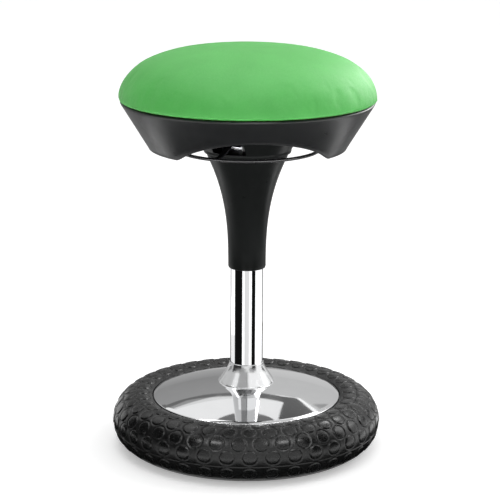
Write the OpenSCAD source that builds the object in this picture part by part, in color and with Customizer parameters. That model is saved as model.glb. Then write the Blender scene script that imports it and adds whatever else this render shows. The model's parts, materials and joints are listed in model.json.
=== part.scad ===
// Round active-sitting stool: padded seat that tilts and swivels on a gas-lift column,
// standing on a polished dish with a rubber tyre. Units are millimetres, +Z up, front at -Y,
// origin at the centre of the tyre's footprint on the floor.

/* [Tyre and base] */
// middle radius of the tyre ring
tyre_ring_r = 164; // [150:1:180]
// radius of the tyre's round section
tyre_section_r = 41; // [34:0.5:48]
// height of the section's centre above the floor
tyre_centre_z = 39.5; // [32:0.5:46]
// radius of the wheel skirt that the tyre is stretched over
skirt_r = 136; // [128:1:142]
// radius of the dish's outer lip
dish_lip_r = 144.3; // [138:0.1:150]
// height of the hub's top edge
hub_top_z = 129.5; // [115:0.5:145]
// wall thickness of the cast dish
dish_wall = 4; // [3:0.5:8]
// raised discs round the tyre in one row
tread_discs = 38; // [24:1:48]
// radius of one raised disc
tread_disc_r = 10.5; // [8:0.5:13]
// how far a disc stands proud of the tyre at its middle
tread_height = 0.6; // [0.3:0.1:1.2]

/* [Column] */
// outer radius of the chromed standing tube
tube_r = 25; // [24:0.5:28]
// top of the standing tube
tube_top_z = 298; // [280:1:310]
// outer radius of the gas cylinder
cylinder_r = 14; // [13:0.5:15]
// lower end of the gas cylinder with the seat fully raised
cylinder_low_z = 200; // [180:1:220]
// piston rod radius
rod_r = 5; // [4:0.5:6]
// lower end of the plastic column cover
cover_low_z = 278.5; // [265:0.5:290]
// radial running clearance of round fits
running = 0.05; // [0.02:0.01:0.1]

/* [Tilt joint] */
// height of the centre that the seat tilts about
tilt_z = 462; // [450:1:475]
// radius of the ball-shaped collar on top of the column cover
collar_ball_r = 61.5; // [55:0.5:70]
// radius of the tilt joint's pins
pin_r = 4; // [3:0.5:6]
// outer radius of the rubber bushes round the pins
bush_r = 6; // [5.5:0.5:8]

/* [Release] */
// radius of the release ring's wire centre line
release_ring_r = 108; // [96:1:112]
// height of the release ring
release_ring_z = 463; // [455:1:470]
// radius of the ring's wire
release_wire_r = 2.5; // [2:0.5:4]
// direction of the two arms, turned from the front
arm_turn = -30; // [-90:5:90]
// distance from the valve to the lever's pivot
lever_arm = 25; // [18:1:30]

/* [Seat] */
// top of the padded seat
seat_top_z = 614; // [600:1:640]
// widest radius of the padding
seat_r = 194; // [180:1:205]
// height of the widest part of the padding
seat_wide_z = 538; // [530:1:545]
// thickness of the seat fabric
fabric = 1.4; // [1:0.1:3]
// upper edge height of the plastic shell
shell_top_z = 535; // [525:1:540]
// lower edge height of the plastic shell
shell_low_z = 463.5; // [455:0.5:475]
// outer radius at the shell's upper edge
shell_top_r = 191; // [180:1:200]
// outer radius at the shell's lower edge
shell_low_r = 147; // [140:1:160]
// wall thickness of the shell
shell_wall = 3.5; // [2.5:0.5:5]
// half width of each hand arch
arch_half_w = 112; // [90:1:125]
// rise of each hand arch above its centre line
arch_rise = 50; // [40:1:60]

/* [Hidden] */
$fn = 96;

alloy = [0.80, 0.81, 0.82];
chrome = [0.72, 0.73, 0.75];
steel = [0.55, 0.56, 0.58];
black = [0.09, 0.09, 0.10];
rubber = [0.06, 0.06, 0.065];
white_plastic = [0.86, 0.86, 0.84];
ply = [0.76, 0.61, 0.42];
foam = [0.88, 0.84, 0.68];
green = [0.36, 0.72, 0.36];

cone_slope = (shell_top_r - shell_low_r) / (shell_top_z - shell_low_z);
arch_z = 449;
web_low_z = 514;
web_top_z = 518;
board_low_z = 520.8;
board_top_z = 532.8;
board_r = 174;
screw_square = 38;
dome_h = seat_top_z - seat_wide_z;
steps = 28;

// angle of each row of discs above the tyre's widest line, and its shift in discs
tread_rows = [[-29, 0.5], [9.5, 0.5], [38, 0], [66.5, 0.5], [95, 0]];

// outer radius of the column cover at height z
function trumpet_r(z) = 28.6 + 34.2 * pow(max(0, (z - 283) / 173), 2.6);

// height of the dish's crowned top at radius r
function dish_z(r) = 99 - r * r / 930;

// outer radius of the shell's cone at height z
function shell_r(z) = shell_low_r + cone_slope * (z - shell_low_z);

// one point of the seat's domed section, t from 0 at the top to 90 at the rim
function dome(t, r, z, h) = [
  r * pow(sin(t), 2 / 2.57),
  z + h * pow(max(0, cos(t)), 2 / 2.28)
];

module ring(r_out, r_in, z_low, z_high) {
  translate([0, 0, z_low])
    difference() {
      cylinder(r = r_out, h = z_high - z_low);
      translate([0, 0, -1])
        cylinder(r = r_in, h = z_high - z_low + 2);
    }
}

module rod_x(r, x_low, x_high, z) {
  translate([x_low, 0, z])
    rotate([0, 90, 0])
      cylinder(r = r, h = x_high - x_low);
}

module four_round(radius, turn = 45) {
  for (i = [0 : 3])
    rotate([0, 0, turn + 90 * i])
      translate([radius, 0, 0])
        children();
}

// ---------- base ----------

module tyre_section() {
  difference() {
    translate([tyre_ring_r, tyre_centre_z])
      circle(r = tyre_section_r);
    // flat contact band
    translate([tyre_ring_r - 60, -20])
      square([120, 20]);
    // wall against the wheel skirt
    translate([skirt_r - 40, -10])
      square([40.1, 110]);
    // step under the dish's lip
    translate([skirt_r, 72])
      square([9, 30]);
    // parting line round the outside
    translate([tyre_ring_r + 40.6, 32.3])
      circle(r = 0.9);
  }
}

// rows of raised discs; rows next to each other are half a disc apart
module tread() {
  for (row = tread_rows)
    for (i = [0 : tread_discs - 1])
      rotate([0, 0, 360 / tread_discs * (i + row[1]) - 97.6])
        translate([tyre_ring_r, 0, tyre_centre_z])
          rotate([0, 90 - row[0], 0])
            translate([0, 0, tyre_section_r - 5])
              cylinder(r = tread_disc_r, h = 5 + tread_height);
}

module tyre() {
  color(rubber)
    union() {
      rotate_extrude()
        tyre_section();
      tread();
    }
}

module base_plate() {
  color(alloy)
    difference() {
      union() {
        rotate_extrude()
          polygon([
            [22, hub_top_z], [26, hub_top_z], [29.4, 119.6], [34.9, 110.5], [39.1, 104],
            [41.6, 100], [42.8, 97.8], [47.4, dish_z(47.4)], [61, dish_z(61)], [72, dish_z(72)],
            [84, dish_z(84)], [96, dish_z(96)], [108, dish_z(108)], [119, dish_z(119)],
            [130, dish_z(130)], [139, dish_z(139)], [142.2, 77.1], [dish_lip_r, 76.3],
            [dish_lip_r, 72.6], [skirt_r, 72.6], [skirt_r, 18], [skirt_r - 4.5, 18],
            [skirt_r - 4.5, 76], [119, dish_z(119) - dish_wall], [96, dish_z(96) - dish_wall],
            [72, dish_z(72) - dish_wall], [36, 91.5], [34, 36], [22, 36]
          ]);
        // bosses for the weight's screws
        four_round(92)
          translate([0, 0, 20])
            cylinder(r = 8, h = 67.6);
      }
      // seat for the column's tapered foot
      translate([0, 0, 30])
        cylinder(r = 23.63, h = 10);
      translate([0, 0, 39.9])
        cylinder(r1 = 23.63, r2 = 25.03, h = 72.1);
      translate([0, 0, 111.9])
        cylinder(r = 25.03, h = 30);
      four_round(92)
        translate([0, 0, 10])
          cylinder(r = 3, h = 34);
    }
}

module under_disc() {
  color(steel)
    difference() {
      ring(131, 30, 12, 20);
      four_round(92)
        translate([0, 0, 5])
          cylinder(r = 3.4, h = 30);
    }
}

module base_screws() {
  color(steel)
    four_round(92) {
      difference() {
        translate([0, 0, 7])
          cylinder(r = 6.5, h = 5);
        translate([0, 0, 5])
          cylinder(r = 2.9, h = 4.5, $fn = 6);
      }
      translate([0, 0, 11.9])
        cylinder(r = 3, h = 26);
    }
}

module column_tube() {
  color(chrome)
    difference() {
      union() {
        translate([0, 0, 40])
          cylinder(r1 = 23.6, r2 = tube_r, h = 72);
        translate([0, 0, 111.9])
          cylinder(r = tube_r, h = tube_top_z - 111.9);
      }
      translate([0, 0, 43.5])
        cylinder(r = 21.8, h = 300);
      translate([0, 0, 30])
        cylinder(r = rod_r + 0.3, h = 20);
    }
}

module guide_bush() {
  color(white_plastic)
    difference() {
      union() {
        translate([0, 0, 225])
          cylinder(r = 21.75, h = tube_top_z - 225);
        translate([0, 0, tube_top_z])
          cylinder(r = 24.6, h = 2);
      }
      translate([0, 0, 200])
        cylinder(r = cylinder_r + running, h = 120);
    }
}

module bearing_lower_race() {
  color(steel)
    difference() {
      ring(16, rod_r + 1, 43.5, 47);
      translate([0, 0, 49.6])
        rotate_extrude()
          translate([11, 0])
            circle(r = 3);
    }
}

// ---------- swivelling rod ----------

module bearing_balls() {
  color(chrome)
    for (i = [0 : 9])
      rotate([0, 0, 36 * i])
        translate([11, 0, 49.55])
          sphere(r = 2.9);
}

module bearing_upper_race() {
  color(steel)
    difference() {
      ring(16, rod_r, 52, 55);
      translate([0, 0, 49.55])
        rotate_extrude()
          translate([11, 0])
            circle(r = 2.9);
    }
}

module bump_stop() {
  color(rubber)
    ring(13, rod_r, 55, 67);
}

module piston_rod() {
  color(chrome)
    difference() {
      union() {
        translate([0, 0, 33])
          cylinder(r = rod_r, h = 172);
        translate([0, 0, 205])
          cylinder(r = 11.9, h = 9);
        translate([0, 0, 214])
          cylinder(r = rod_r, h = 5);
      }
      translate([0, 0, 36.6])
        difference() {
          cylinder(r = 8, h = 1.8);
          translate([0, 0, -1])
            cylinder(r = 4, h = 4);
        }
      translate([0, 0, 209])
        rotate_extrude()
          translate([12.2, 0])
            circle(r = 1.2);
    }
}

module rod_clip() {
  color(steel)
    difference() {
      ring(9.5, 4, 36.7, 38.3);
      translate([0, -3, 30])
        cube([20, 6, 20]);
    }
}

// ---------- lifting column ----------

module pressure_cylinder() {
  color(black)
    difference() {
      union() {
        translate([0, 0, cylinder_low_z])
          cylinder(r = cylinder_r, h = 434 - cylinder_low_z);
        translate([0, 0, 434])
          cylinder(r1 = cylinder_r, r2 = cylinder_r - 0.6, h = 14);
      }
      translate([0, 0, cylinder_low_z - 5])
        cylinder(r = rod_r + running, h = 20);
      translate([0, 0, cylinder_low_z + 4])
        cylinder(r = 12.4, h = 216);
      translate([0, 0, 428])
        cylinder(r = pin_r + running, h = 30);
    }
}

module column_cover() {
  color(black)
    rotate_extrude() {
      difference() {
        polygon(concat(
          [[0, cover_low_z], [27.2, cover_low_z], [28.4, cover_low_z + 1.4]],
          [for (i = [0 : steps]) [trumpet_r(283 + i * 6.4), 283 + i * 6.4]],
          [[0, tilt_z]]
        ));
        polygon(concat(
          [[0, cover_low_z - 1], [tube_r + 0.35, cover_low_z - 1], [tube_r + 0.35, 296]],
          [for (i = [3 : steps]) [
            max(tube_r + 0.35, trumpet_r(283 + i * 6.4) - 2.8 - 1.6 * i / steps),
            283 + i * 6.4
          ]],
          [[0, tilt_z + 10]]
        ));
        // ball-shaped collar inside the mechanism's cover
        difference() {
          translate([40, 440])
            square([60, 40]);
          translate([0, tilt_z])
            circle(r = collar_ball_r);
        }
      }
      // web that the taper hub stands on
      translate([cylinder_r + 0.6, 431.2])
        square([34, 2.8]);
    }
}

module taper_hub() {
  color(alloy)
    difference() {
      translate([0, 0, 434])
        cylinder(r = 24, h = 36);
      translate([0, 0, 434])
        cylinder(r1 = cylinder_r + 0.02, r2 = cylinder_r - 0.58, h = 14);
      translate([0, 0, 430])
        cylinder(r = cylinder_r + 0.02, h = 4.01);
      translate([0, 0, 447.9])
        cylinder(r = 16, h = 30);
      rod_x(pin_r, -40, 40, tilt_z);
    }
}

module tilt_pins_x() {
  color(steel)
    for (s = [-1, 1])
      rod_x(pin_r, s > 0 ? 16.5 : -38.5, s > 0 ? 38.5 : -16.5, tilt_z);
}

module valve_button() {
  color(chrome) {
    translate([0, 0, 436])
      cylinder(r = pin_r, h = 20.9);
    translate([0, 0, 456.9])
      cylinder(r1 = pin_r, r2 = pin_r - 1.4, h = 1.4);
  }
}

// ---------- tilt joint ----------

module gimbal_ring() {
  color(steel)
    difference() {
      ring(38, 27, tilt_z - 8, tilt_z + 8);
      rod_x(bush_r, -60, 60, tilt_z);
      rotate([0, 0, 90])
        rod_x(bush_r, -60, 60, tilt_z);
    }
}

module bush_pair() {
  for (s = [0, 180])
    rotate([0, 0, s])
      difference() {
        rod_x(bush_r, 27.4, 37.6, tilt_z);
        rod_x(pin_r + running, 20, 60, tilt_z);
      }
}

module tilt_bushes_x() {
  color(rubber)
    bush_pair();
}

module tilt_bushes_y() {
  color(rubber)
    rotate([0, 0, 90])
      bush_pair();
}

// ---------- seat mechanism ----------

module seat_screw_places() {
  for (x = [-screw_square, screw_square])
    for (y = [-screw_square, screw_square])
      translate([x, y, 0])
        children();
}

module mech_plate() {
  color(black)
    difference() {
      union() {
        translate([-52, -52, 510])
          cube([104, 104, 4]);
        // ears that carry the front and back pins
        for (s = [-1, 1])
          translate([-11, s * 43.5 - 2.5, tilt_z])
            cube([22, 5, 49]);
        for (s = [-1, 1])
          translate([0, s * 43.5 + 2.5, tilt_z])
            rotate([90, 0, 0])
              cylinder(r = 11, h = 5);
        // cheeks that carry the lever's pin
        rotate([0, 0, arm_turn])
          for (s = [-1, 1])
            translate([s * 8.5 - 1.5, -lever_arm - 6, 475])
              cube([3, 12, 36]);
      }
      rotate([0, 0, 90])
        rod_x(pin_r, -60, 60, tilt_z);
      rotate([0, 0, arm_turn])
        translate([0, -lever_arm, 0])
          rod_x(2.5, -20, 20, 480);
      seat_screw_places()
        translate([0, 0, 500])
          cylinder(r = 4.3, h = 30);
    }
}

module tilt_pins_y() {
  color(steel)
    for (s = [-1, 1])
      rotate([0, 0, 90])
        rod_x(pin_r, s > 0 ? 26.5 : -47.5, s > 0 ? 47.5 : -26.5, tilt_z);
}

module release_pin() {
  color(steel)
    rotate([0, 0, arm_turn])
      translate([0, -lever_arm, 0]) {
        rod_x(2.5, -11, 11, 480);
        rod_x(4, -12.2, -10.05, 480);
      }
}

module mech_cover() {
  color(black)
    difference() {
      rotate_extrude() {
        difference() {
          polygon([
            [50, tilt_z - 5], [65.1, tilt_z - 5], [65.8, tilt_z - 3], [66.2, tilt_z], [91.5, 512],
            [98, 512], [98, web_low_z], [50, web_low_z]
          ]);
          polygon([
            [0, tilt_z - 6], [collar_ball_r - 8, tilt_z - 6], [collar_ball_r + 1.3, tilt_z],
            [collar_ball_r + 1.6, tilt_z + 4], [88, 513], [88, 520], [0, 520]
          ]);
          translate([0, tilt_z])
            circle(r = collar_ball_r + 1);
        }
      }
      // windows for the two release arms
      rotate([0, 0, arm_turn])
        translate([-27, -110, tilt_z + 1])
          cube([54, 220, 25]);
      four_round(94.6, 15)
        translate([0, 0, 500])
          cylinder(r = 1.6, h = 30);
    }
}

module cover_screws() {
  color(steel)
    four_round(94.6, 15) {
      translate([0, 0, 510.2])
        cylinder(r = 3, h = 1.8);
      translate([0, 0, 511.9])
        cylinder(r = 1.5, h = 5);
    }
}

// ---------- release ----------

module release_wire(extra = 0) {
  translate([0, 0, release_ring_z])
    rotate_extrude()
      translate([release_ring_r, 0])
        circle(r = release_wire_r + extra);
}

module release_ring() {
  color(black)
    release_wire();
}

module release_lever() {
  color(black)
    rotate([0, 0, arm_turn]) {
      difference() {
        union() {
          // bent flat bar from one side of the ring to the other
          rotate([0, 90, 0])
            rotate([0, 0, 90])
              translate([0, 0, -4])
                linear_extrude(height = 8)
                  polygon([
                    [-106.6, 461.4], [-94, 461.4], [-66, 471], [-60.4, 477], [60.4, 477],
                    [66, 471], [94, 461.4], [106.6, 461.4], [106.6, 464.6], [93.4, 464.6],
                    [67.4, 474], [61.6, 480], [-61.6, 480], [-67.4, 474], [-93.4, 464.6],
                    [-106.6, 464.6]
                  ]);
          // sleeve round the pivot
          translate([0, -lever_arm, 0])
            rod_x(5, -6, 6, 480);
          // stem and ball over the valve
          translate([0, 0, tilt_z])
            cylinder(r = 2.5, h = 16);
          translate([0, 0, tilt_z])
            sphere(r = 3.5);
        }
        translate([0, -lever_arm, 0])
          rod_x(2.5 + running, -20, 20, 480);
        release_wire();
      }
    }
}

// ---------- seat ----------

module seat_shell() {
  color(black)
    difference() {
      union() {
        difference() {
          rotate_extrude()
            polygon([
              [shell_low_r - 1.2, shell_low_z], [shell_low_r, shell_low_z + 1.2],
              [shell_top_r - 0.6, shell_top_z - 1.4], [shell_top_r - 1.2, shell_top_z],
              [shell_top_r - 3.4, shell_top_z], [shell_r(530) - shell_wall - 1, 530],
              [shell_r(web_top_z) - shell_wall - 1, web_top_z], [0, web_top_z],
              [0, web_low_z], [shell_r(web_low_z) - shell_wall - 1, web_low_z],
              [shell_low_r - shell_wall - 0.4, shell_low_z]
            ]);
          // hand arches at the front and the back
          translate([0, 250, arch_z])
            rotate([90, 0, 0])
              scale([arch_half_w, arch_half_w, 1])
                linear_extrude(height = 500)
                  arch_shape();
        }
        // ribs from the mechanism out to the wall
        for (a = [0 : 7])
          rotate([0, 0, 22.5 + 45 * a])
            translate([100, -1.25, web_low_z - 10])
              cube([70, 2.5, 10.5]);
        // posts for the cover's screws
        four_round(94.6, 15)
          translate([0, 0, web_low_z])
            cylinder(r = 4, h = 2);
      }
      seat_screw_places()
        translate([0, 0, 500])
          cylinder(r = 4.5, h = 30);
      four_round(94.6, 15)
        translate([0, 0, 500])
          cylinder(r = 1.5, h = 17);
    }
}

module arch_shape() {
  k = arch_rise / arch_half_w;
  polygon([for (i = [0 : 48]) [cos(i * 3.75), k * sin(i * 3.75)]]);
  translate([-1, -0.6])
    square([2, 0.6]);
}

module seat_board() {
  color(ply)
    difference() {
      translate([0, 0, board_low_z])
        cylinder(r = board_r, h = board_top_z - board_low_z);
      seat_screw_places() {
        translate([0, 0, 510])
          cylinder(r = 5.5, h = 30);
        translate([0, 0, board_top_z - 1.5])
          cylinder(r = 11, h = 10);
      }
    }
}

module tee_nuts() {
  color(steel)
    seat_screw_places()
      difference() {
        union() {
          translate([0, 0, board_top_z - 1.5])
            cylinder(r = 11, h = 1.5);
          translate([0, 0, board_low_z + 1])
            cylinder(r = 5.5, h = 10);
        }
        translate([0, 0, 510])
          cylinder(r = 4, h = 30);
      }
}

module seat_screws() {
  color(steel)
    seat_screw_places() {
      difference() {
        translate([0, 0, 503.5])
          cylinder(r = 6.5, h = 6.5);
        translate([0, 0, 502])
          cylinder(r = 3.4, h = 5, $fn = 6);
      }
      translate([0, 0, 509.9])
        cylinder(r = 4, h = 21.5);
    }
}

module seat_foam() {
  color(foam)
    difference() {
      rotate_extrude()
        polygon(concat(
          [[0, board_top_z], [board_r, board_top_z], [board_r, 537.7], [seat_r - 4, 537.7]],
          [for (i = [steps : -1 : 0]) dome(i * 90 / steps, seat_r - fabric, seat_wide_z + 0.4,
            dome_h - fabric - 0.4)]
        ));
      seat_screw_places()
        translate([0, 0, 530])
          cylinder(r = 5, h = 6);
    }
}

module seat_cover() {
  color(green)
    rotate_extrude()
      polygon(concat(
        [for (i = [0 : steps]) dome(i * 90 / steps, seat_r, seat_wide_z, dome_h)],
        [
          [seat_r - 1, 536.8], [seat_r - 3, 536.2], [board_r + fabric, 536.2],
          [board_r + fabric, board_low_z - 1.2], [board_r - 16, board_low_z - 1.2],
          [board_r - 16, board_low_z], [board_r, board_low_z], [board_r, 537.7],
          [seat_r - 4, 537.7]
        ],
        [for (i = [steps : -1 : 0]) dome(i * 90 / steps, seat_r - fabric, seat_wide_z + 0.4,
          dome_h - fabric - 0.4)]
      ));
}

module staples() {
  color(chrome)
    for (i = [0 : 23])
      rotate([0, 0, 7.5 + 15 * i])
        translate([board_r - 9, 0, 0])
          rotate([0, 0, 90]) {
            translate([-5, -0.6, board_low_z - 1.8])
              cube([10, 1.2, 0.6]);
            for (s = [-1, 1])
              translate([s * 4.4 - 0.6, -0.6, board_low_z - 1.3])
                cube([1.2, 1.2, 7]);
          }
}

tyre();
base_plate();
under_disc();
base_screws();
column_tube();
guide_bush();
bearing_lower_race();
bearing_balls();
bearing_upper_race();
bump_stop();
piston_rod();
rod_clip();
pressure_cylinder();
column_cover();
taper_hub();
tilt_pins_x();
valve_button();
gimbal_ring();
tilt_bushes_x();
tilt_bushes_y();
mech_plate();
tilt_pins_y();
mech_cover();
cover_screws();
seat_shell();
seat_board();
seat_foam();
seat_cover();
staples();
tee_nuts();
seat_screws();
release_pin();
release_ring();
release_lever();
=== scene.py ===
import json
import math

import bmesh
import bpy
import numpy as np
from mathutils import Matrix, Vector


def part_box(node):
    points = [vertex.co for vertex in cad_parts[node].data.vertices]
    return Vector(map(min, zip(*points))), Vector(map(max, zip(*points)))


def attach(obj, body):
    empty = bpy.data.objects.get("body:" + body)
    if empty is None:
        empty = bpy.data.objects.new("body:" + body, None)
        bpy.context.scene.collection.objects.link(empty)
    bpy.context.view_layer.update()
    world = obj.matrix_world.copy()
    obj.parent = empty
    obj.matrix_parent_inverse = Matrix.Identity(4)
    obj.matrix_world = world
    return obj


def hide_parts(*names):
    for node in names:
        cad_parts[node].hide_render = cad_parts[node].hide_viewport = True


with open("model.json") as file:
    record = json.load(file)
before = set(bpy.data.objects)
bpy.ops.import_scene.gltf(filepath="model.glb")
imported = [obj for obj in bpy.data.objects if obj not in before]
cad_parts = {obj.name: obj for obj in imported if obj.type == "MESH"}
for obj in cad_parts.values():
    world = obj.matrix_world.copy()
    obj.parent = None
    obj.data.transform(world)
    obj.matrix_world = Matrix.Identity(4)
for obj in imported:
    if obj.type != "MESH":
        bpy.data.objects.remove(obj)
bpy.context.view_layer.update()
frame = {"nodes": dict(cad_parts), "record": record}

MM = 0.001
NODES = frame["nodes"]
SUBPARTS = frame["record"]["subparts"]

# metres
PIN_R = 0.004
TYRE_R = 0.164                    # radius of the tyre section's middle line
TYRE_SECTION = 0.041
TYRE_Z = 0.0395
RING_WIRE = 0.0025
RING_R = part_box("release_ring")[1][0] - RING_WIRE
RING_Z = 0.5 * (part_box("release_ring")[0][2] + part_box("release_ring")[1][2])
KNIT_PITCH = 0.0011
PLY_THICKNESS = 0.0030

# heights in millimetres, as in the profiles
TILT_Z = (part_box("tilt_pins_x")[0][2] + PIN_R) / MM           # centre that the seat tilts about
SHELL_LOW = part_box("seat_shell")[0][2] / MM
SHELL_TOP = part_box("seat_shell")[1][2] / MM
COVER_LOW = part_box("column_cover")[0][2] / MM
SEAT_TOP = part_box("seat_cover")[1][2] / MM

CAMERA_TURN = -4.5                # degrees round the column, seen from above
CAMERA_REACH = 2.7                # metres from the column's axis
CAMERA_HEIGHT = 0.983
CAMERA_DOWN = 14.1                # degrees below level
CAMERA_ROLL = 0.3
CAMERA_SHIFT = 0.006              # share of the frame's width
FOCAL = 1837.0                    # pixels, in a frame of the width below
FRAME_WIDTH = 500.0
SENSOR = 36.0                     # millimetres

CAD_SHARP = 32                    # degrees: the CAD parts' edges sharper than this stay sharp


# ---------------------------------------------------------------- node materials

def rgba(value):
    """A colour of three numbers gets its alpha. Anything else stays as it is."""
    return (*value, 1.0) if isinstance(value, (tuple, list)) and len(value) == 3 else value


class Paint:
    """A small builder for node materials. Values that are sockets are linked, others are set."""

    NAMES = {
        "color": "Base Color", "metal": "Metallic", "rough": "Roughness", "normal": "Normal",
        "spec": "Specular IOR Level", "sheen": "Sheen Weight", "sheen_rough": "Sheen Roughness",
        "sheen_tint": "Sheen Tint", "glow": "Emission Color", "glow_strength": "Emission Strength",
    }

    def __init__(self, name):
        self.mat = bpy.data.materials.new(name)
        self.mat.use_nodes = True
        self.tree = self.mat.node_tree
        self.tree.nodes.clear()
        self.out = self.tree.nodes.new("ShaderNodeOutputMaterial")
        self.bsdf = self.tree.nodes.new("ShaderNodeBsdfPrincipled")
        self.tree.links.new(self.bsdf.outputs[0], self.out.inputs[0])
        self.place = self.node("ShaderNodeTexCoord").outputs["Object"]

    def node(self, kind, inputs=None, **props):
        made = self.tree.nodes.new(kind)
        for key, value in props.items():
            setattr(made, key, value)
        for key, value in (inputs or {}).items():
            self.feed(made.inputs[key], value)
        return made

    def feed(self, socket, value):
        if isinstance(value, bpy.types.NodeSocket):
            self.tree.links.new(value, socket)
        else:
            socket.default_value = value

    def set(self, **values):
        for key, value in values.items():
            self.feed(self.bsdf.inputs[self.NAMES[key]], rgba(value))

    def math(self, op, a, b=0.0):
        return self.node("ShaderNodeMath", {0: a, 1: b}, operation=op).outputs[0]

    def noise(self, scale, detail=3.0, rough=0.5, place=None, stretch=None):
        where = place or self.place
        if stretch:
            where = self.node("ShaderNodeMapping", {"Vector": where, "Scale": stretch}).outputs[0]
        return self.node(
            "ShaderNodeTexNoise",
            {"Vector": where, "Scale": scale, "Detail": detail, "Roughness": rough},
        ).outputs["Fac"]

    def cells(self, scale):
        return self.node("ShaderNodeTexVoronoi", {"Vector": self.place, "Scale": scale}).outputs["Distance"]

    def span(self, fac, low, high, start=0.0, end=1.0):
        """Low at start, high at end, level beyond them."""
        return self.node(
            "ShaderNodeMapRange",
            {"Value": fac, "From Min": start, "From Max": end, "To Min": low, "To Max": high},
        ).outputs[0]

    def mix(self, fac, a, b):
        made = self.tree.nodes.new("ShaderNodeMix")
        made.data_type = "RGBA"
        for socket, value in ((made.inputs[0], fac), (made.inputs[6], a), (made.inputs[7], b)):
            self.feed(socket, rgba(value))
        return made.outputs[2]

    def bump(self, height, distance, strength=1.0, normal=None):
        inputs = {"Height": height, "Distance": distance, "Strength": strength}
        if normal:
            inputs["Normal"] = normal
        return self.node("ShaderNodeBump", inputs).outputs[0]

    def axes(self):
        made = self.node("ShaderNodeSeparateXYZ", {0: self.place})
        return made.outputs[0], made.outputs[1], made.outputs[2]

    def radius(self):
        x, y, _ = self.axes()
        square = self.math("ADD", self.math("MULTIPLY", x, x), self.math("MULTIPLY", y, y))
        return self.math("SQRT", square)

    def edge_wear(self, low, high):
        """1 on sharp outer edges, 0 elsewhere."""
        pointy = self.node("ShaderNodeNewGeometry").outputs["Pointiness"]
        return self.span(pointy, 0.0, 1.0, low, high)


def plastic(name, base, rough, spec, grain=900.0, grain_height=0.00003):
    p = Paint(name)
    cloud = p.noise(14.0, 2.0)
    fine = p.noise(grain, 2.0, 0.6)
    dust = p.noise(60.0, 5.0, 0.7)
    tone = p.mix(p.span(cloud, 0.0, 1.0, 0.3, 0.7), base, tuple(c * 1.25 for c in base))
    roughness = p.math("ADD", p.span(dust, -0.05, 0.05, 0.3, 0.7), rough)
    p.set(color=tone, rough=roughness, spec=spec, normal=p.bump(fine, grain_height, 0.6))
    return p.mat


def make_fabric():
    """Fine stretch knit: small loops in bump and colour, a slight melange and a soft sheen."""
    p = Paint("green_knit")
    x, y, z = p.axes()
    pitch = 2 * math.pi / KNIT_PITCH
    wales = p.math("SINE", p.math("MULTIPLY", x, pitch))
    courses = p.math("SINE", p.math("MULTIPLY", p.math("ADD", y, z), pitch))
    loops = p.math("MULTIPLY", wales, courses)
    fuzz = p.noise(2600.0, 3.0, 0.7)
    patches = p.noise(22.0, 4.0, 0.55)
    yarn = p.noise(420.0, 3.0, 0.6, stretch=(1.0, 0.3, 1.0))
    shade = p.mix(p.span(patches, 0.0, 1.0, 0.3, 0.7), (0.034, 0.345, 0.036), (0.050, 0.40, 0.052))
    shade = p.mix(p.span(yarn, 0.0, 0.22, 0.35, 0.7), shade, (0.09, 0.46, 0.088))
    shade = p.mix(p.span(loops, 0.0, 0.16, -1.0, 1.0), shade, (0.03, 0.22, 0.03))
    height = p.math("ADD", p.math("MULTIPLY", loops, 0.5), p.math("MULTIPLY", fuzz, 0.6))
    soft = p.noise(9.0, 2.0)
    normal = p.bump(soft, 0.004, 0.25)
    normal = p.bump(height, 0.00012, 0.55, normal)
    p.set(color=shade, rough=0.58, spec=0.62, normal=normal, sheen=0.08, sheen_rough=0.45,
          sheen_tint=(0.9, 1.0, 0.8))
    return p.mat


def make_rubber(name):
    """Black rubber with dust and scuffs. The tyre's "disc" attribute makes its discs a little smoother."""
    p = Paint(name)
    dust = p.noise(35.0, 6.0, 0.65)
    fine = p.noise(1400.0, 3.0, 0.6)
    scuff = p.noise(150.0, 4.0, 0.6, stretch=(1.0, 1.0, 3.0))
    tone = p.mix(p.span(dust, 0.0, 1.0, 0.35, 0.7), (0.0032, 0.0034, 0.0034), (0.008, 0.0082, 0.0082))
    wear = p.edge_wear(0.51, 0.60)
    tone = p.mix(p.math("MULTIPLY", wear, 0.32), tone, (0.04, 0.04, 0.04))
    disc = p.node("ShaderNodeAttribute", attribute_name="disc").outputs["Fac"]
    rough = p.math("ADD", p.span(scuff, -0.06, 0.10, 0.3, 0.7), p.span(disc, 0.31, 0.22))
    p.set(color=tone, rough=rough, spec=0.55, normal=p.bump(fine, 0.00005, 0.7))
    return p.mat


def make_polished():
    """Cast aluminium turned and polished: rings of very fine tool marks and faint haze."""
    p = Paint("polished_aluminium")
    rings = p.node("ShaderNodeCombineXYZ", {0: p.radius()}).outputs[0]
    marks = p.noise(2600.0, 4.0, 0.7, place=rings)
    haze = p.noise(30.0, 4.0, 0.6)
    _, _, z = p.axes()
    hub = p.span(z, 0.0, 0.13, 0.0965, 0.0985)        # the hub is left a little duller than the dish
    rough = p.math("ADD", hub, p.math("ADD", p.span(haze, 0.0, 0.05, 0.35, 0.7), 0.03))
    tone = p.mix(haze, (0.86, 0.865, 0.875), (0.93, 0.935, 0.94))
    p.set(color=tone, metal=1.0, rough=rough, normal=p.bump(marks, 0.000012, 0.35))
    return p.mat


def make_chrome():
    """Chrome plate with faint grinding lines round the tube."""
    p = Paint("chrome")
    haze = p.noise(40.0, 4.0, 0.6)
    lines = p.noise(300.0, 3.0, 0.6, stretch=(1.0, 1.0, 14.0))
    rough = p.math("ADD", p.span(haze, 0.0, 0.02, 0.4, 0.7), 0.025)
    p.set(color=(0.90, 0.905, 0.915), metal=1.0, rough=rough, normal=p.bump(lines, 0.000004, 0.2))
    return p.mat


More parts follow.
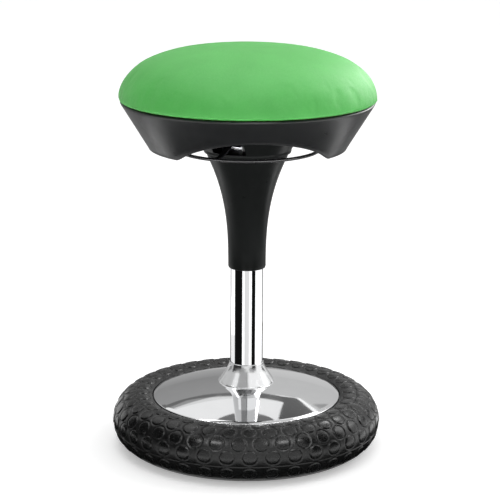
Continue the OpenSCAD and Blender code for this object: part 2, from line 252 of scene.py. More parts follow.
def make_paint(name, base=(0.012, 0.012, 0.013), rough=0.28):
    """Black powder coat with an orange-peel surface."""
    p = Paint(name)
    peel = p.noise(700.0, 2.0, 0.5)
    cloud = p.noise(40.0, 3.0)
    tone = p.mix(cloud, base, tuple(c * 1.6 for c in base))
    p.set(color=tone, rough=p.math("ADD", p.span(cloud, -0.04, 0.06, 0.3, 0.7), rough), spec=0.5,
          normal=p.bump(peel, 0.00004, 0.6))
    return p.mat


def make_steel(name, tone, rough, stretch=(1.0, 1.0, 10.0)):
    p = Paint(name)
    lines = p.noise(900.0, 4.0, 0.65, stretch=stretch)
    cloud = p.noise(60.0, 5.0, 0.6)
    color = p.mix(p.span(cloud, 0.0, 1.0, 0.35, 0.7), tone, tuple(c * 0.8 for c in tone))
    p.set(color=color, metal=1.0, rough=p.math("ADD", p.span(lines, -0.06, 0.1, 0.3, 0.7), rough),
          normal=p.bump(lines, 0.00001, 0.4))
    return p.mat


def make_ply():
    p = Paint("plywood")
    _, _, z = p.axes()
    grain = p.noise(260.0, 5.0, 0.65, stretch=(0.08, 1.0, 1.0))
    plies = p.math("SINE", p.math("MULTIPLY", z, 2 * math.pi / PLY_THICKNESS))
    face = p.mix(p.span(grain, 0.0, 1.0, 0.3, 0.7), (0.62, 0.45, 0.27), (0.44, 0.29, 0.16))
    tone = p.mix(p.span(plies, 0.0, 0.5, 0.2, 0.6), face, (0.30, 0.19, 0.10))
    p.set(color=tone, rough=0.7, normal=p.bump(grain, 0.0002, 0.5))
    return p.mat


def make_foam():
    p = Paint("seat_foam")
    cells = p.cells(900.0)
    tone = p.mix(p.noise(20.0), (0.80, 0.74, 0.52), (0.88, 0.83, 0.62))
    p.set(color=tone, rough=0.95, spec=0.1, normal=p.bump(cells, 0.0006, 0.8))
    return p.mat


EVEN = (1.0, 1.0, 1.0)            # no grinding lines
FABRIC = make_fabric()
RUBBER = make_rubber("tyre_rubber")
ALLOY = make_polished()
CHROME = make_chrome()
SHELL = plastic("shell_plastic", (0.0050, 0.0054, 0.0058), 0.32, 0.36, 1400.0, 0.000012)
COLUMN = plastic("column_plastic", (0.0068, 0.0078, 0.0076), 0.32, 0.12, 1400.0, 0.000010)
PAINT = make_paint("black_paint")

LOOKS = {
    "polished_aluminium": ALLOY,
    "tyre_rubber": RUBBER,
    "soft_rubber": make_rubber("soft_rubber"),
    "chrome": CHROME,
    "black_paint": PAINT,
    "black_plastic": COLUMN,
    "white_plastic": plastic("white_plastic", (0.70, 0.70, 0.68), 0.45, 0.5),
    # cast alloy parts are tinted almost black: painted shade for the dark hollow seen through the shell's
    # arch windows
    "cast_alloy": make_steel("cast_alloy", (0.16, 0.16, 0.17), 0.45, EVEN),
    "zinc_steel": make_steel("zinc_steel", (0.60, 0.61, 0.62), 0.34, EVEN),
    "fastener_steel": make_steel("fastener_steel", (0.42, 0.43, 0.45), 0.30),
    "bearing_steel": make_steel("bearing_steel", (0.68, 0.69, 0.71), 0.12),
    "plywood": make_ply(),
    "seat_foam": make_foam(),
    "green_fabric": FABRIC,
}
for entry in SUBPARTS:
    part = NODES[entry["node"]]
    part.data.materials.clear()
    part.data.materials.append(LOOKS[entry["material_slot"]])


# ---------------------------------------------------------------- mesh helpers

def new_object(name, verts, faces, material, sharp=35):
    """A smooth-shaded object. Edges sharper than the angle stay sharp, or none where it is 0."""
    mesh = bpy.data.meshes.new(name)
    mesh.from_pydata(verts, [], faces)
    mesh.validate()
    mesh.update()
    obj = bpy.data.objects.new(name, mesh)
    bpy.context.scene.collection.objects.link(obj)
    mesh.materials.append(material)
    mesh.shade_smooth()
    if sharp:
        mesh.set_sharp_from_angle(angle=math.radians(sharp))
    return obj


def grid_faces(rows, cols, close_cols=True):
    """Quads of a grid that closes round its rows. Its vertex number is row * cols + col."""
    row, col = np.meshgrid(np.arange(rows), np.arange(cols if close_cols else cols - 1), indexing="ij")
    below, right = (row + 1) % rows, (col + 1) % cols
    corners = [row * cols + col, row * cols + right, below * cols + right, below * cols + col]
    return np.stack(corners, axis=-1).reshape(-1, 4).tolist()


def cut_corners(points):
    """One pass of corner cutting on a closed profile."""
    out = []
    for i, (x, y) in enumerate(points):
        for u, v in (points[i - 1], points[(i + 1) % len(points)]):
            out.append((x * 0.75 + u * 0.25, y * 0.75 + v * 0.25))
    return out


def lathe(name, profile, material, steps=192, sharp=35, closed=True):
    """Turns a profile of (radius, height) in millimetres about the column's axis."""
    prof = np.array(profile) * MM
    turn = np.linspace(0, 2 * math.pi, steps, endpoint=False)
    x = np.outer(np.cos(turn), prof[:, 0])
    y = np.outer(np.sin(turn), prof[:, 0])
    z = np.tile(prof[:, 1], (steps, 1))
    verts = np.stack([x, y, z], axis=-1).reshape(-1, 3)
    return new_object(name, verts.tolist(), grid_faces(steps, len(prof), closed), material, sharp)


def smooth_curve(points, per_span):
    """Catmull-Rom curve through the points."""
    pts = np.array([points[0]] + list(points) + [points[-1]], float)
    out = []
    for i in range(1, len(pts) - 2):
        p0, p1, p2, p3 = pts[i - 1], pts[i], pts[i + 1], pts[i + 2]
        for t in np.linspace(0, 1, per_span, endpoint=False):
            out.append(0.5 * ((2 * p1) + (p2 - p0) * t + (2 * p0 - 5 * p1 + 4 * p2 - p3) * t ** 2
                              + (3 * p1 - p0 - 3 * p2 + p3) * t ** 3))
    out.append(pts[-2])
    return [tuple(p) for p in out]


def fix_normals(obj):
    bm = bmesh.new()
    bm.from_mesh(obj.data)
    bmesh.ops.recalc_face_normals(bm, faces=bm.faces)
    bm.to_mesh(obj.data)
    bm.free()


def smoothstep(a, b, x):
    t = np.clip((x - a) / (b - a), 0, 1)
    return t * t * (3 - 2 * t)


def coords(mesh):
    out = np.empty(len(mesh.vertices) * 3)
    mesh.vertices.foreach_get("co", out)
    return out.reshape(-1, 3)


def apply_modifiers(obj):
    dg = bpy.context.evaluated_depsgraph_get()
    mesh = bpy.data.meshes.new_from_object(obj.evaluated_get(dg))
    old = obj.data
    obj.modifiers.clear()
    obj.data = mesh
    bpy.data.meshes.remove(old)


# ---------------------------------------------------------------- tyre

def build_tyre():
    """Fat ring with rows of raised discs, each with a moulded groove round it."""
    per_row = 38
    # degrees up the section, and the stagger as a share of the gap
    rows = [(-29.0, 0.5), (9.5, 0.5), (38.0, 0.0), (66.5, 0.5), (95.0, 0.0)]
    first = math.radians(-7.6)                        # the first disc's place, from the front
    disc_r = 10.6 * MM
    disc_height, dome_height, groove_depth, line_depth = 0.6, 0.3, 0.9, 0.9    # millimetres
    turns, arc = per_row * 30, 168
    # round the section from the dish's rim over the outside to the underside
    phi = np.linspace(math.radians(117.6), math.radians(-132.9), arc)
    theta = np.linspace(0, 2 * math.pi, turns, endpoint=False)
    th, ph = np.meshgrid(theta, phi, indexing="ij")
    lift = np.zeros_like(th)
    on_disc = np.zeros_like(th)
    gap = 2 * math.pi / per_row
    for at, shift in rows:
        at = math.radians(at)
        around = (th + math.pi / 2 - first - shift * gap + gap / 2) % gap - gap / 2
        u = around * (TYRE_R + TYRE_SECTION * math.cos(at))
        v = TYRE_SECTION * (ph - at)
        d = np.sqrt(u * u + v * v)
        disc = 1 - smoothstep(disc_r - 1.3 * MM, disc_r, d)
        dome = dome_height * np.clip(1 - (d / disc_r) ** 2, 0, 1)
        groove = (smoothstep(disc_r - 0.6 * MM, disc_r + 0.2 * MM, d)
                  * (1 - smoothstep(disc_r + 0.8 * MM, disc_r + 1.9 * MM, d)))
        lift += disc * (disc_height + dome) * MM - groove * groove_depth * MM
        on_disc = np.maximum(on_disc, disc)
    # a fine groove runs round the tyre between its two lowest rows
    line = TYRE_SECTION * (ph - math.radians(-10))
    lift -= line_depth * MM * (1 - smoothstep(0.3 * MM, 1.0 * MM, np.abs(line)))
    # the tread ends before the floor and before the dish's rim
    fade = (smoothstep(math.radians(-60), math.radians(-45), ph)
            * (1 - smoothstep(math.radians(111), math.radians(116), ph)))
    lift *= fade
    rr = TYRE_R + (TYRE_SECTION + lift) * np.cos(ph)
    zz = np.maximum(TYRE_Z + (TYRE_SECTION + lift) * np.sin(ph), 0.0)
    # the inner wall against the dish's skirt
    inner = MM * np.array([(136.1, 9.5), (136.1, 30), (136.1, 50), (136.1, 71.8), (140, 72.0),
                           (144.9, 72.2)])
    rr = np.concatenate([rr, np.tile(inner[:, 0], (turns, 1))], axis=1)
    zz = np.concatenate([zz, np.tile(inner[:, 1], (turns, 1))], axis=1)
    th = np.repeat(theta[:, None], rr.shape[1], axis=1)
    verts = np.stack([rr * np.cos(th), rr * np.sin(th), zz], axis=-1).reshape(-1, 3)
    obj = new_object("tyre_treaded", verts.tolist(), grid_faces(turns, rr.shape[1]), RUBBER, 50)
    on_disc = np.concatenate([on_disc * fade, np.zeros((turns, len(inner)))], axis=1)
    obj.data.attributes.new("disc", "FLOAT", "POINT").data.foreach_set("value", on_disc.ravel())
    fix_normals(obj)
    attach(obj, "base")
    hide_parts("tyre")


# ---------------------------------------------------------------- dish and column

def build_dish():
    """Hub, domed floor, turned-down rim and the skirt and socket under them, in one casting."""
    hub = [(26.1, 128.8), (27.4, 124.4), (30.4, 117.6), (34.9, 110.6), (38.8, 104.6), (41.2, 101.0),
           (42.5, 98.9), (42.9, 97.9), (43.8, 97.3), (46.5, 96.75)]
    floor = [(r, 99 - r * r / 930) for r in range(53, 142, 6)]
    rim = [(142.3, 76.95), (142.9, 76.5), (143.2, 76.0), (143.2, 75.0), (142.9, 73.2), (142.0, 72.7)]
    under = [(136, 72.6), (136, 18), (131.5, 18), (131.5, 76), (119, 80), (95, 85.5), (72, 89.6),
             (37, 92.5), (34, 86), (34, 36), (25.2, 36), (25.05, 112), (25.05, 129), (25.4, 129.4)]
    obj = lathe("polished_dish", smooth_curve(hub + floor, 10) + rim + under, ALLOY, 256, 40)
    fix_normals(obj)
    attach(obj, "base")
    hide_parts("base_plate")


def build_tube():
    tube = lathe("chromed_tube", [
        (24.3, 298), (24.8, 297.8), (25, 297.2), (25, 296.4), (25, 292), (25, 270), (25, 230), (25, 190),
        (25, 150), (25, 118), (25, 112.6), (25, 112), (23.6, 40), (21.8, 40), (21.8, 120), (21.8, 290),
        (21.8, 297.4), (22.2, 298),
    ], CHROME, 192, 30)
    fix_normals(tube)
    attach(tube, "base")
    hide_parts("column_tube")


def build_cover():
    """Trumpet-shaped cover. Its bell stays inside a ball round the tilt's centre, so the seat can tip."""
    neck_r, flare, flare_from, flare_span, flare_power = 28.6, 34.2, 283, 173, 2.6
    ball_r, ball_from = 61.5, 440
    bore_r, bore_from, wall_thick, wall_extra, wall_span = 25.7, 300, 2.8, 1.6, 179

    def outer(z):
        return neck_r + flare * max(0.0, (z - flare_from) / flare_span) ** flare_power

    low = COVER_LOW
    foot = [(25.5, low + 1.0), (25.7, low + 0.3), (26.3, low), (27.1, low + 0.15), (27.9, low + 0.8),
            (28.4, low + 1.9)]
    wall = []
    start, steps, inside_steps = low + 3, 60, 40
    for i in range(steps + 1):
        z = start + (TILT_Z - start) * i / steps
        r = outer(z)
        if z > ball_from:
            r = min(r, math.sqrt(ball_r ** 2 - (z - TILT_Z) ** 2))
        wall.append((r, z))
    crown = [(60.9, TILT_Z + 0.4), (60.2, TILT_Z + 0.4), (59.7, TILT_Z)]
    inside = []
    for i in range(inside_steps):
        z = TILT_Z - 1 - (TILT_Z - bore_from) * i / inside_steps
        wall_here = wall_thick + wall_extra * (z - flare_from) / wall_span
        inside.append((max(bore_r, outer(z) - wall_here), z))
    cover = lathe("trumpet_cover", foot + wall + crown + inside, COLUMN, 192, 60)
    fix_normals(cover)
    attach(cover, "lift")
    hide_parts("column_cover")


# ---------------------------------------------------------------- shell

def shell_outer(z):
    """Outer radius of the shell's cone, all in millimetres."""
    return 147 + 44 * (z - SHELL_LOW) / (SHELL_TOP - SHELL_LOW)


def arch_edge(x, beyond):
    """Height of the hand arch's half ellipse at a distance from its middle, or the value beyond it."""
    half_width, foot, rise = 112, 449, 50
    return foot + rise * math.sqrt(1 - (x / half_width) ** 2) if x < half_width else beyond


def arch_height(angle):
    """Height of the shell's lower edge at an angle from the front or back, in millimetres."""
    soft = 2.2                                        # rounds the corner where the arch meets the edge
    side = abs(math.sin(angle))
    z = SHELL_LOW
    for _ in range(12):                               # the cone's radius depends on the height sought
        z = max(SHELL_LOW, arch_edge(shell_outer(z) * side, SHELL_LOW))
    raw = arch_edge(shell_outer(z) * side, SHELL_LOW - 12)
    return SHELL_LOW + soft * math.log1p(math.exp(min(40.0, (raw - SHELL_LOW) / soft)))


def build_skirt():
    """The shell's hollow cone with an arch at the front and one at the back."""
    turns, steps = 900, 14
    lip = 2.2                                         # half round of the lower edge
    wall_thick, wall_extra, thick_over = 4.0, 0.9, 5.0                         # thicker at its lowest part
    rim = 2.7                                         # height of the rolled upper rim
    arch_top = 499.2
    top = SHELL_TOP
    verts = []
    for k in range(turns):
        t = 2 * math.pi * k / turns
        from_front = math.atan2(math.cos(t), -math.sin(t))
        angle = from_front if abs(from_front) < math.pi / 2 else math.pi - abs(from_front)
        low = min(arch_height(angle), arch_top)
        ring = []
        for i in range(steps + 1):                    # outside, upwards
            z = low + lip + (top - rim - low - lip) * i / steps
            ring.append((shell_outer(z), z))
        r_top = shell_outer(top - rim)
        ring += [(r_top + 0.08, top - 2.4), (r_top - 0.06, top - 2.1), (r_top - 0.32, top - 1.7),
                 (r_top - 0.72, top - 1.15), (r_top - 1.16, top - 0.62), (r_top - 1.5, top - 0.26),
                 (r_top - 1.9, top - 0.05), (r_top - 2.4, top), (r_top - 2.9, top - 0.3),
                 (r_top - 3.2, top - 1.2)]
        for i in range(steps + 1):                    # inside, downwards
            z = top - 3 + (low + lip + 3 - top) * i / steps
            wall = wall_thick + wall_extra * max(0.0, 1 - (z - low - lip) / thick_over)
            ring.append((shell_outer(z) - wall, z))
        r_out = shell_outer(low + lip)
        r_in = r_out - wall_thick - wall_extra
        mid, half = (r_in + r_out) / 2, (r_out - r_in) / 2
        for a in (160, 135, 110, 90, 70, 45, 20):     # round the lower edge
            a = math.radians(a)
            ring.append((mid + half * math.cos(a), low + lip - lip * math.sin(a)))
        verts += [(r * MM * math.cos(t), r * MM * math.sin(t), z * MM) for r, z in ring]
    obj = new_object("shell_skirt", verts, grid_faces(turns, len(ring)), SHELL, 50)
    fix_normals(obj)
    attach(obj, "seat")
    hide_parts("seat_shell")


def build_web():
    """The shell's floor under the seat board."""
    web = lathe("shell_web", cut_corners([
        (0.01, 518), (174, 518), (175.5, 517), (175.5, 514.5), (174, 514), (100, 514), (99, 512.5),
        (97.6, 512.5), (96.5, 514), (0.01, 514),
    ]), SHELL, 128, 35)
    fix_normals(web)
    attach(web, "seat")


def build_ribs():
    """Eight stiffening ribs under the web, each shallower at its inner end."""
    section = [(-1.3, 514.2), (-1.3, 504.5), (-0.9, 503.9), (0.9, 503.9), (1.3, 504.5), (1.3, 514.2)]
    stations = [(101, 5.0), (106, 0.0), (166, 0.0), (171, 0.0)]      # radius, and what is cut off below
    verts, faces = [], []
    m, last = len(section), len(stations) - 1
    for k in range(8):
        a = math.radians(22.5 + 45 * k)
        c, s = math.cos(a), math.sin(a)
        base = len(verts)
        for r, cut in stations:
            for side, z in section:
                zz = z + (cut if z < 510 else 0)
                verts.append(((r * c - side * s) * MM, (r * s + side * c) * MM, zz * MM))
        for j in range(last):
            for i in range(m):
                faces.append([base + j * m + i, base + j * m + (i + 1) % m,
                              base + (j + 1) * m + (i + 1) % m, base + (j + 1) * m + i])
        faces.append([base + i for i in range(m)][::-1])
        faces.append([base + last * m + i for i in range(m)])
    rib = new_object("shell_ribs", verts, faces, SHELL, 30)
    fix_normals(rib)
    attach(rib, "seat")


# ---------------------------------------------------------------- padded seat

def seat_profile(radius, low, high, steps=40):
    """A dome fuller than an ellipse, from its middle to its widest edge, in millimetres."""
    side_power, top_power = 2.57, 2.28                # 2 and 2 would make an ellipse
    pts = []
    for i in range(steps + 1):
        t = math.radians(90 * i / steps)
        pts.append((radius * math.sin(t) ** (2 / side_power),
                    low + (high - low) * max(0, math.cos(t)) ** (2 / top_power)))
    return pts


def inflate(obj, before):
    """Lets pressure swell the cover a little, held at its hem, then pulls the small folds flat."""
    hem, frames = 0.5372, 20
    pin = obj.vertex_groups.new(name="pin")
    pin.add([i for i, p in enumerate(before) if p[2] < hem], 1.0, "REPLACE")
    cloth = obj.modifiers.new("cloth", "CLOTH")
    s = cloth.settings
    s.quality = 5
    s.mass = 0.3
    s.tension_stiffness = s.compression_stiffness = 14
    s.shear_stiffness = 6
    s.bending_stiffness = 0.6
    s.use_pressure = True
    s.uniform_pressure_force = 4.0
    s.effector_weights.gravity = 0.0
    s.vertex_group_mass = "pin"
    cloth.collision_settings.use_collision = False
    scene = bpy.context.scene
    cloth.point_cache.frame_start = 1
    cloth.point_cache.frame_end = frames
    for f in range(1, frames + 1):
        scene.frame_set(f)
    dg = bpy.context.evaluated_depsgraph_get()
    delta = coords(obj.evaluated_get(dg).to_mesh()) - before
    obj.evaluated_get(dg).to_mesh_clear()
    obj.modifiers.clear()

    edges = np.empty(len(obj.data.edges) * 2, dtype=np.int64)
    obj.data.edges.foreach_get("vertices", edges)
    a, b = edges.reshape(-1, 2).T
    links = np.bincount(a, minlength=len(delta)) + np.bincount(b, minlength=len(delta))
    calm = delta.copy()
    for _ in range(14):
        around = np.zeros_like(calm)
        np.add.at(around, a, calm[b])
        np.add.at(around, b, calm[a])
        calm = 0.4 * calm + 0.6 * around / links[:, None]
    fold_share, cap = 0.32, 3.0 * MM                  # how much of a fold stays, and the furthest move
    delta = calm + fold_share * (delta - calm)
    size = np.linalg.norm(delta, axis=1)
    scale = np.where(size > cap, cap / np.maximum(size, 1e-9), 1.0)
    obj.data.vertices.foreach_set("co", (before + delta * scale[:, None]).ravel())
    obj.data.update()
    scene.frame_set(1)


def gather(v):
    """Moves the points for faint gathers where the cover is pulled over the rim."""
    gather_z, gather_height, depth = 545, 13, 0.45    # millimetres
    radius = np.hypot(v[:, 0], v[:, 1])
    angle = np.arctan2(v[:, 1], v[:, 0])
    rng = np.random.default_rng(7)
    wave = np.zeros(len(v))
    for _ in range(26):
        wave += rng.uniform(0.3, 1.0) * np.cos(rng.integers(17, 92) * angle + rng.uniform(0, 6.28))
    wave /= 9.0
    height = v[:, 2] / MM
    near = np.exp(-((height - gather_z) / gather_height) ** 2) * smoothstep(0.150, 0.185, radius)
    push = wave * near * depth * MM
    v[:, 0] += push * np.cos(angle)
    v[:, 1] += push * np.sin(angle)


def build_seat():
    """Taut knit cover over moulded foam. The cover is inflated a little by cloth simulation."""
    slack = 2.0                                       # room left for the cover to swell, in millimetres
    widest_r, widest_z = 194, 538
    dome = seat_profile(widest_r - slack * 0.6, widest_z, SEAT_TOP - slack)
    under = [(192.4, 536.6), (190.2, 535.9), (186, 536.1), (178, 536.2), (170, 536.2), (120, 536.2),
             (60, 536.2), (0.2, 536.2)]
    seat = lathe("padded_seat", [(max(r, 0.2), z) for r, z in dome] + under, FABRIC, 240, 0)
    fix_normals(seat)
    bpy.context.view_layer.objects.active = seat
    remesh = seat.modifiers.new("even", "REMESH")
    remesh.mode = "VOXEL"
    remesh.voxel_size = 0.0042
    apply_modifiers(seat)
    inflate(seat, coords(seat.data))
    v = coords(seat.data)
    gather(v)
    seat.data.vertices.foreach_set("co", v.ravel())
    seat.data.update()
    sub = seat.modifiers.new("smooth", "SUBSURF")
    sub.levels = sub.render_levels = 1
    seat.data.materials.clear()
    seat.data.materials.append(FABRIC)
    seat.data.shade_smooth()
    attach(seat, "seat")
    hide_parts("seat_cover", "seat_foam")


# ---------------------------------------------------------------- release ring

def build_release():
    turns, around = 256, 24
    t = np.linspace(0, 2 * math.pi, turns, endpoint=False)
    a = np.linspace(0, 2 * math.pi, around, endpoint=False)
    tt, aa = np.meshgrid(t, a, indexing="ij")
    r = RING_R + RING_WIRE * np.cos(aa)
    verts = np.stack([r * np.cos(tt), r * np.sin(tt), RING_Z + RING_WIRE * np.sin(aa)], axis=-1)
    ring = new_object("release_hoop", verts.reshape(-1, 3).tolist(), grid_faces(turns, around), PAINT, 0)
    fix_normals(ring)
    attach(ring, "release")
    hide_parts("release_ring")


# ---------------------------------------------------------------- stage, light, camera

def build_floor():
    """A pale floor, and a paper-white backdrop that only the camera sees."""
    half = 14
    p = Paint("studio_floor")
    cloud = p.noise(3.0, 3.0)
    p.set(color=p.mix(cloud, (0.90, 0.90, 0.90), (0.93, 0.93, 0.93)), rough=0.65, spec=0.2,
          normal=p.bump(p.noise(400.0), 0.0001, 0.3), glow=(1.0, 1.0, 1.0), glow_strength=0.32)
    corners = [(-half, -half, 0), (half, -half, 0), (half, half, 0), (-half, half, 0)]
    floor = new_object("floor", corners, [[0, 1, 2, 3]], p.mat, 0)

    p = Paint("studio_paper")
    p.set(color=(0.0, 0.0, 0.0), rough=1.0, spec=0.0,
          glow=p.mix(p.noise(0.5), (1.0, 1.0, 1.0), (1.02, 1.02, 1.02)), glow_strength=1.0)
    sheet = lathe("backdrop", [(12500, -10), (12500, 14000)], p.mat, 96, 0, False)
    sheet.visible_diffuse = sheet.visible_glossy = sheet.visible_shadow = sheet.visible_transmission = False


def build_world():
    """White surroundings, brighter towards the right."""
    world = bpy.data.worlds.new("studio")
    bpy.context.scene.world = world
    world.use_nodes = True
    tree = world.node_tree
    back = tree.nodes["Background"]
    where = tree.nodes.new("ShaderNodeTexCoord")
    split = tree.nodes.new("ShaderNodeSeparateXYZ")
    tree.links.new(where.outputs["Generated"], split.inputs[0])
    span = tree.nodes.new("ShaderNodeMapRange")
    tree.links.new(split.outputs[0], span.inputs["Value"])
    span.inputs["From Min"].default_value = -1.0
    span.inputs["To Min"].default_value = 0.50
    span.inputs["To Max"].default_value = 1.0
    back.inputs[0].default_value = (1.0, 1.0, 1.0, 1.0)
    tree.links.new(span.outputs[0], back.inputs[1])


def area_lamp(name, where, target, size, power):
    lamp = bpy.data.lights.new(name, "AREA")
    lamp.shape = "RECTANGLE"
    lamp.size, lamp.size_y = size
    lamp.energy = power
    obj = bpy.data.objects.new(name, lamp)
    bpy.context.scene.collection.objects.link(obj)
    obj.location = where
    aim = Vector(target) - Vector(where)
    obj.rotation_euler = aim.to_track_quat("-Z", "Y").to_euler()


def card_paint(name, value, fade=(-0.3, 1.6)):
    """A dully glowing grey, or two greys that fade between two heights."""
    low, high = value if isinstance(value, tuple) else (value, value)
    p = Paint(name)
    cloud = p.noise(2.0, 2.0)
    _, _, z = p.axes()
    tone = p.mix(p.span(z, 0.0, 1.0, *fade), (low,) * 3, (high,) * 3)
    tone = p.mix(0.06, tone, p.mix(cloud, (low * 0.8,) * 3, (high * 1.2,) * 3))
    p.set(color=(0.0, 0.0, 0.0), rough=1.0, spec=0.0, glow=tone, glow_strength=1.0)
    return p.mat


def add_card(name, verts, faces, paint):
    """A card that only glossy reflections see."""
    obj = new_object(name, verts, faces, paint, 0)
    obj.visible_camera = False
    obj.visible_diffuse = False
    obj.visible_shadow = False
    obj.visible_transmission = False


def curved_card(name, start, end, edges, steps, paint):
    """A strip between two edges, each (radius, height), round the column.

    Angles are in degrees, from the camera's side of the stool to the right.
    """
    verts = []
    for i in range(steps + 1):
        a = math.radians(start + (end - start) * i / steps + CAMERA_TURN)
        verts += [(r * math.sin(a), -r * math.cos(a), z) for r, z in edges]
    add_card(name, verts, [[2 * i, 2 * i + 2, 2 * i + 3, 2 * i + 1] for i in range(steps)], paint)


def level_card(name, start, end, near, far, paint, height=0.002):
    curved_card(name, start, end, [(near, height), (far, height)], 24, paint)


def standing_card(name, start, end, paint, low=0.045, high=0.222, r=0.27):
    curved_card(name, start, end, [(r, low), (r, high)], 16, paint)


def flat_card(name, corners, value, distance=2.6, side=1):
    """A flat studio panel behind the stool (side 1) or on the camera's side (side -1).

    Corners are (angle to the right, elevation) in degrees, seen from the middle of the dish.
    """
    dish_z = 0.09
    turn = math.radians(CAMERA_TURN)
    out = Vector((-math.sin(turn), math.cos(turn), 0)) * side
    right = Vector((math.cos(turn), math.sin(turn), 0))
    verts = []
    for aim, rise in corners:
        across = math.tan(math.radians(aim))
        up = math.tan(math.radians(rise)) * math.hypot(1, across)
        spot = (out + right * across) * distance
        verts.append((spot.x, spot.y, dish_z + distance * up))
    heights = [v[2] for v in verts]
    paint = card_paint(name, value, (min(heights), max(heights)))
    add_card(name, verts, [list(range(len(verts)))], paint)


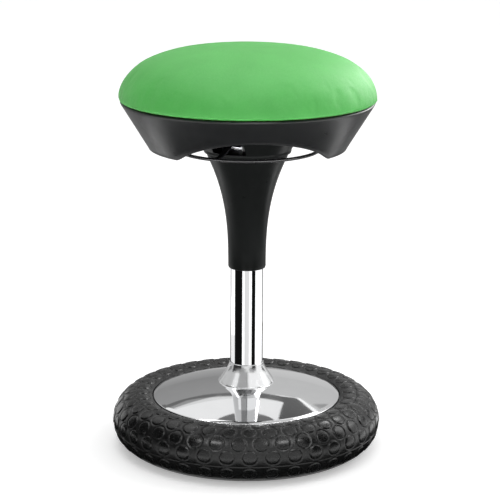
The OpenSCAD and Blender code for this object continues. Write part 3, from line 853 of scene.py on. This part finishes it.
def build_cards():
    """The plain grey cards that the black plastic, rubber, chrome and polished metal mirror."""
    black = card_paint("flag_black", 0.006)

    # round the column at mid height: the upper face, and just below it the faces that the dish sees
    level_card("flag_raised", -68, 100, 0.12, 0.33, card_paint("flag_raised", 0.15), 0.30)
    greys = [(-68, -43, 0.92), (-43, 1, 0.36), (1, 8, 0.20), (8, 100, 0.92)]
    for n, (start, end, value) in enumerate(greys):
        for kind, near, far, share in (("under", 0.15, 0.33, 1), ("inner", 0.045, 0.15, 0.62)):
            name = "flag_%s_%d" % (kind, n)
            level_card(name, start, end, near, far, card_paint(name, value * share), 0.2995)

    # just above the floor: name, angles, radii and grey, with None for black
    for name, start, end, near, far, value in [
        ("flag_tyre", -112, 112, 0.19, 0.315, None),
        ("flag_tyre_rear", 112, 248, 0.19, 0.25, None),
        ("flag_near_left", -125, -60, 0.30, 0.57, None),
        ("flag_right_rear", 130, 178, 0.36, 0.66, 0.20),
        ("flag_right_rear_2", 130, 178, 0.66, 1.12, 0.42),
        ("flag_left_rear", -178, -134, 0.36, 0.66, 0.24),
        ("flag_left_rear_2", -178, -134, 0.66, 1.12, 0.58),
        ("flag_far", -78, 78, 1.12, 3.4, None),
        ("flag_far_right", 78, 130, 1.12, 3.4, 0.04),
        ("flag_far_right_rear", 130, 180, 1.12, 3.4, 0.36),
        ("flag_far_left", -130, -78, 1.12, 3.4, 0.10),
        ("flag_far_left_rear", -180, -130, 1.12, 3.4, 0.45),
        ("flag_right_pale", 92, 130, 0.42, 0.85, 1.95),
        ("flag_left_pale", -134, -114, 0.58, 0.85, 1.75),
    ]:
        level_card(name, start, end, near, far, black if value is None else card_paint(name, value))

    # upright, round the tube, the tyre and the seat
    standing_card("strip_left", -88, -30, black)
    standing_card("strip_right", 34, 60, black)
    standing_card("strip_centre", -14, 16, card_paint("strip_centre", 0.80))
    for name, start, end, value, low, high, r in [
        ("strip_pale", -122, -88, 0.95, 0.02, 0.10, 0.265),
        ("disc_light", -62, 72, 8.5, 0.355, 0.46, 0.42),
        ("side_left", -127, -101, 0.20, 0.155, 0.24, 0.60),
        ("side_right", 108, 130, 0.08, 0.155, 0.24, 0.60),
    ]:
        standing_card(name, start, end, card_paint(name, value), low, high, r)
    level_card("seat_card_top", 62, 168, 0.13, 0.62, card_paint("seat_card_top", 2.6), 1.15)
    standing_card("seat_card", 100, 143, card_paint("seat_card", 7.5), 0.62, 1.10, 0.62)

    # behind the stool, for the dish's far half
    flat_card("panel_back_left", [(-38, -16), (0, -16), (0, 11), (-38, 11)], (0.52, 0.26))
    flat_card("panel_low_left", [(-38, 11), (0, 11), (0, 33), (-38, 33)], (0.26, 0.33))
    flat_card("panel_back_right", [(0, -16), (38, -16), (38, 11), (0, 11)], (0.66, 0.54))
    flat_card("panel_low_right", [(0, 11), (38, 11), (38, 50), (23, 38), (13, 31.3), (0, 33)],
              (0.52, 0.62), 2.58)
    flat_card("panel_band", [(-38, 28), (-16.8, 29.7), (-10.7, 30.7), (-3.5, 32.3), (3.9, 32.4),
                             (9.7, 32.9), (12.8, 31.7), (11, 37.5), (4, 36.8), (-3.8, 35.5),
                             (-10.2, 33.6), (-15.4, 31.8), (-20.9, 32.7), (-38, 34)], 0.15, 2.5)
    flat_card("panel_high", [(-38, 31), (38, 31), (38, 64), (-38, 64)], 0.88, 2.62)
    flat_card("panel_dark", [(9.4, 33.1), (12.8, 31.7), (16.3, 34.1), (20.8, 37.6), (21, 46), (13.6, 53),
                             (12, 45), (11, 37.5)], (0.14, 0.09), 2.46)
    flat_card("panel_streak", [(12.9, 31.3), (13.7, 30.8), (18.4, 34.6), (22.8, 37.2), (22, 39),
                               (17.4, 35.8)], 1.1, 2.42)
    flat_card("panel_small", [(17.7, 32.5), (20.2, 26.2), (21.7, 29.4), (20, 33.7)], 0.33, 2.44)
    flat_card("panel_mound", [(-16, 60), (-13.9, 51.5), (-8.7, 49.5), (-5.1, 48.4), (4.7, 48.5),
                              (8.8, 49.5), (12.9, 51.5), (16, 60)], 0.17, 2.4)

    # on the camera's side, for the dish's near half and the hub: name, left, right, bottom, top
    for name, left, right, bottom, top, value, distance in [
        ("front_strip", -24, 34, 50, 64, 8.5, 2.2),
        ("front_left", -50, -9, 14, 66, 0.30, 2.4),
        ("front_grey", -9, -3, 14, 66, 0.52, 2.4),
        ("front_mid", 8, 14, 30, 66, 0.45, 2.4),
        ("front_right", 18, 50, 14, 66, 0.34, 2.4),
    ]:
        corners = [(left, bottom), (right, bottom), (right, top), (left, top)]
        flat_card(name, corners, value, distance, -1)


def build_stage():
    build_floor()
    build_world()
    area_lamp("key", (1.9, 0.5, 1.9), (0, 0, 0.5), (1.2, 1.6), 12)
    area_lamp("top", (-0.2, 0.2, 2.6), (0, 0, 0.3), (2.2, 2.2), 26)
    build_cards()


def build_camera():
    data = bpy.data.cameras.new("camera")
    data.sensor_width = SENSOR
    data.lens = FOCAL / FRAME_WIDTH * SENSOR
    data.shift_x = CAMERA_SHIFT
    data.clip_end = 60
    cam = bpy.data.objects.new("camera", data)
    bpy.context.scene.collection.objects.link(cam)
    turn = math.radians(CAMERA_TURN)
    spot = (CAMERA_REACH * math.sin(turn), -CAMERA_REACH * math.cos(turn), CAMERA_HEIGHT)
    cam.matrix_world = (Matrix.Translation(spot) @ Matrix.Rotation(turn, 4, "Z")
                        @ Matrix.Rotation(math.radians(90 - CAMERA_DOWN), 4, "X")
                        @ Matrix.Rotation(math.radians(CAMERA_ROLL), 4, "Z"))
    bpy.context.scene.camera = cam


build_camera()
build_stage()
build_tyre()
build_dish()
build_tube()
build_cover()
build_skirt()
build_web()
build_ribs()
build_release()
build_seat()
bpy.context.scene.view_settings.view_transform = "Standard"

for entry in SUBPARTS:
    mesh = NODES[entry["node"]].data
    mesh.shade_smooth()
    mesh.set_sharp_from_angle(angle=math.radians(CAD_SHARP))
